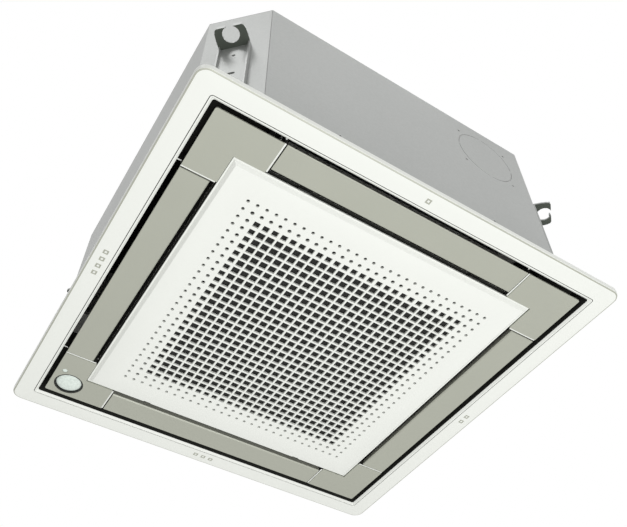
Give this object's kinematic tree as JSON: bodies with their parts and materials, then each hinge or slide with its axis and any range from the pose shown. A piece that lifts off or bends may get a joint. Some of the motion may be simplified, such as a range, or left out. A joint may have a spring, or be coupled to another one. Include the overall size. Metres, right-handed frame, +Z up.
{
  "type": "ceiling cassette air conditioner",
  "caption": "Square ceiling cassette indoor unit: perforated suction grille, swinging air flaps round it, chamfered sheet-metal casing and slotted hanger brackets.",
  "frame": {"origin": "centre of the panel in plan, on the ceiling plane, which is the upper face of the panel rim", "axes": "+Z up into the ceiling, panel facing -Z; -Y is the side with the fresh-air knock-out, +X the side with the pipes"},
  "size_m": [0.628, 0.6255, 0.303],
  "materials": {
    "white_plastic": "fine satin moulding, off-white",
    "silver_plastic": "satin silver-grey moulding",
    "galvanised_sheet": "zinc-coated sheet, satin",
    "bracket_steel": "zinc-coated bracket steel",
    "white_foam": "moulded bead foam",
    "dark_foam": "closed-cell foam sheet",
    "black_plastic": "black moulding",
    "filter_net": "fine black net",
    "fan_plastic": "grey glass-filled moulding",
    "motor_paint": "dark painted motor",
    "rubber": "black rubber",
    "coil_fins": "bare fin block",
    "copper": "bare copper tube",
    "brass": "machined brass",
    "dome_plastic": "milky translucent moulding",
    "board": "coated circuit board"
  },
  "bodies": {
    "unit": {"panel_frame": "white_plastic", "duct_seal": "dark_foam", "sensor_housing": "black_plastic", "sensor_lens": "dome_plastic", "receiver_lens": "dome_plastic", "side_plate_front": "galvanised_sheet", "side_plate_right": "galvanised_sheet", "side_plate_back": "galvanised_sheet", "side_plate_left": "galvanised_sheet", "top_plate": "galvanised_sheet", "liner_foam": "white_foam", "top_insulation": "dark_foam", "drain_pan": "white_foam", "bellmouth": "white_plastic", "fan_motor": "motor_paint", "motor_mount": "galvanised_sheet", "motor_bush_1": "rubber", "motor_bush_2": "rubber", "motor_bush_3": "rubber", "coil": "coil_fins", "coil_return_bends": "copper", "coil_partition": "galvanised_sheet", "gas_pipe": "copper", "liquid_pipe": "copper", "gas_flare_nut": "brass", "liquid_flare_nut": "brass", "pipe_cover_plate": "galvanised_sheet", "drain_pump": "white_plastic", "drain_hose": "rubber", "drain_socket": "white_plastic", "float_stem": "white_plastic", "control_box": "galvanised_sheet", "control_box_lid": "galvanised_sheet", "circuit_board": "board", "terminal_block": "black_plastic", "cable_bush": "rubber", "flap_motor_front": "white_plastic", "flap_motor_right": "white_plastic", "flap_motor_back": "white_plastic", "flap_motor_left": "white_plastic", "corner_cover_front_left": "silver_plastic", "hanger_bracket_front_left": "bracket_steel", "corner_cover_front_right": "silver_plastic", "hanger_bracket_front_right": "bracket_steel", "corner_cover_back_right": "silver_plastic", "hanger_bracket_back_right": "bracket_steel", "corner_cover_back_left": "silver_plastic", "hanger_bracket_back_left": "bracket_steel"},
    "flap_front": {"flap_front": "silver_plastic"},
    "flap_right": {"flap_right": "silver_plastic"},
    "flap_back": {"flap_back": "silver_plastic"},
    "flap_left": {"flap_left": "silver_plastic"},
    "grille": {"suction_grille": "white_plastic", "filter_frame": "black_plastic", "filter_mesh": "filter_net"},
    "catch_left": {"grille_catch_left": "black_plastic"},
    "catch_right": {"grille_catch_right": "black_plastic"},
    "fan": {"turbo_fan": "fan_plastic", "fan_nut": "galvanised_sheet"},
    "float": {"float": "black_plastic"}
  },
  "joints": [
    {"name": "flap_front_swing", "type": "hinge", "parent": "unit", "child": "flap_front", "pos_m": [0, -0.237, 0.003], "axis": [1, 0, 0], "range_deg": [0, 60]},
    {"name": "flap_right_swing", "type": "hinge", "parent": "unit", "child": "flap_right", "pos_m": [0.237, 0, 0.003], "axis": [0, 1, 0], "range_deg": [0, 60]},
    {"name": "flap_back_swing", "type": "hinge", "parent": "unit", "child": "flap_back", "pos_m": [0, 0.237, 0.003], "axis": [-1, 0, 0], "range_deg": [0, 60]},
    {"name": "flap_left_swing", "type": "hinge", "parent": "unit", "child": "flap_left", "pos_m": [-0.237, 0, 0.003], "axis": [0, -1, 0], "range_deg": [0, 60]},
    {"name": "grille_swing", "type": "hinge", "parent": "unit", "child": "grille", "pos_m": [0, 0.219, -0.002], "axis": [1, 0, 0], "range_deg": [0, 90]},
    {"name": "catch_left_slide", "type": "slide", "parent": "grille", "child": "catch_left", "axis": [0, 1, 0], "range_m": [0, 0.004], "stiffness_N_per_m": 300, "springref_m": -0.004},
    {"name": "catch_right_slide", "type": "slide", "parent": "grille", "child": "catch_right", "axis": [0, 1, 0], "range_m": [0, 0.004], "stiffness_N_per_m": 300, "springref_m": -0.004},
    {"name": "fan_spin", "type": "hinge", "parent": "unit", "child": "fan", "pos_m": [0, 0, 0.18], "axis": [0, 0, 1], "continuous": true},
    {"name": "float_slide", "type": "slide", "parent": "unit", "child": "float", "axis": [0, 0, 1], "range_m": [0, 0.01]}
  ]
}
